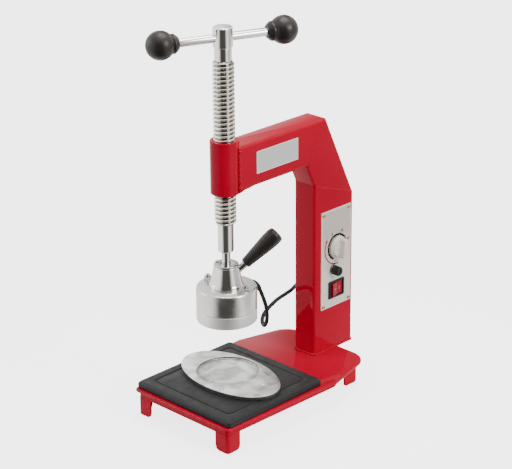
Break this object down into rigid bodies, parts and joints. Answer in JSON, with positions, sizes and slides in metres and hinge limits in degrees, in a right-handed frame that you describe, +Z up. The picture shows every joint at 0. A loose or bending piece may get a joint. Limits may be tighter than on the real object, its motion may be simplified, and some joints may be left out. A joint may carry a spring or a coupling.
{
  "type": "spot vulcanising press",
  "caption": "Bench press with a heated round head on a hand screw, carried by a welded box-section frame over a square tray, for vulcanising patches on tubes.",
  "frame": {"origin": "centre of the bounding box on the table, without the heater lead", "axes": "+Z up along the screw, -Y to the front where the tray is, +X to the side with the control panel"},
  "size_m": [0.2, 0.3534, 0.5717],
  "materials": {
    "red_paint": "glossy powder coat",
    "black_plastic": "satin moulded",
    "tray_coating": "dark grey, fine texture",
    "zinc_steel": "bright zinc plate",
    "silver_label": "satin anodised sheet",
    "black_print": "printed ring",
    "grey_plastic": "moulded",
    "ivory_plastic": "moulded, glossy",
    "red_plastic": "translucent moulded",
    "glass_fuse": "glass tube fuse",
    "brass": "machined",
    "chrome": "polished nickel-chrome plate",
    "turned_steel": "fine turned, plated",
    "ceramic": "mica and ceramic",
    "phenolic": "black phenolic, polished",
    "rubber": "smooth sheath",
    "cast_aluminium": "satin cast and machined"
  },
  "bodies": {
    "frame": {"base_plate": "red_paint", "base_skirt": "red_paint", "front_legs": "red_paint", "rear_legs": "red_paint", "column_tube": "red_paint", "knee_tube": "red_paint", "arm_tube": "red_paint", "screw_boss": "red_paint", "column_cap": "black_plastic", "tray": "tray_coating", "tray_screws": "zinc_steel", "nameplate": "silver_label", "control_panel": "silver_label", "panel_screws": "zinc_steel", "dial_scale": "black_print", "timer_body": "grey_plastic", "switch_housing": "black_plastic", "fuse_holder": "black_plastic", "terminal_block": "ivory_plastic", "lead_gland": "black_plastic", "mains_gland": "black_plastic", "heater_lead": "rubber", "earth_screw": "brass"},
    "carriage": {"thrust_washer": "brass"},
    "screw": {"lead_screw": "chrome"},
    "bar": {"t_bar": "chrome", "ball_knobs": "phenolic"},
    "head": {"head_cone": "chrome", "retaining_plate": "chrome", "retaining_screws": "zinc_steel", "heater_casing": "turned_steel", "heating_plate": "turned_steel", "heating_element": "ceramic", "insulation_disc": "ivory_plastic", "thermostat": "ceramic", "head_studs": "zinc_steel", "stud_nuts": "zinc_steel", "handle_rod": "chrome", "handle_grip": "phenolic", "head_gland": "black_plastic", "lead_boot": "rubber"},
    "knob": {"timer_knob": "ivory_plastic"},
    "rocker": {"rocker": "red_plastic"},
    "fuse": {"fuse_cap": "black_plastic", "fuse_link": "glass_fuse"},
    "plate": {"shaping_plate": "cast_aluminium"}
  },
  "joints": [
    {"name": "head_lift", "type": "slide", "parent": "frame", "child": "carriage", "axis": [0, 0, 1], "range_m": [-0.087, 0.04], "deforming": ["heater_lead"]},
    {"name": "screw_turn", "type": "hinge", "parent": "carriage", "child": "screw", "pos_m": [0, -0.07331, 0.4], "axis": [0, 0, 1], "range_deg": [-5221, 2401]},
    {"name": "bar_slide", "type": "slide", "parent": "screw", "child": "bar", "axis": [0.3206, 0.9472, 0], "range_m": [-0.045, 0.045]},
    {"name": "head_swivel", "type": "hinge", "parent": "carriage", "child": "head", "pos_m": [0, -0.07331, 0.2], "axis": [0, 0, 1], "range_deg": [-25, 25], "deforming": ["heater_lead"]},
    {"name": "timer_turn", "type": "hinge", "parent": "frame", "child": "knob", "pos_m": [0.025, 0.13119, 0.2], "axis": [-1, 0, 0], "range_deg": [0, 300]},
    {"name": "switch_rock", "type": "hinge", "parent": "frame", "child": "rocker", "pos_m": [0.0182, 0.12919, 0.135], "axis": [0, 0, -1], "range_deg": [0, 20]},
    {"name": "fuse_turn", "type": "hinge", "parent": "frame", "child": "fuse", "pos_m": [0.025, 0.12369, 0.166], "axis": [-1, 0, 0], "range_deg": [-90, 0]},
    {"name": "plate_slide", "type": "slide", "parent": "frame", "child": "plate", "axis": [0, -1, 0], "range_m": [0, 0.11]}
  ],
  "couplings": [
    {"joint": "screw_turn", "follows": "head_lift", "rad_per_m": 1047.2}
  ]
}
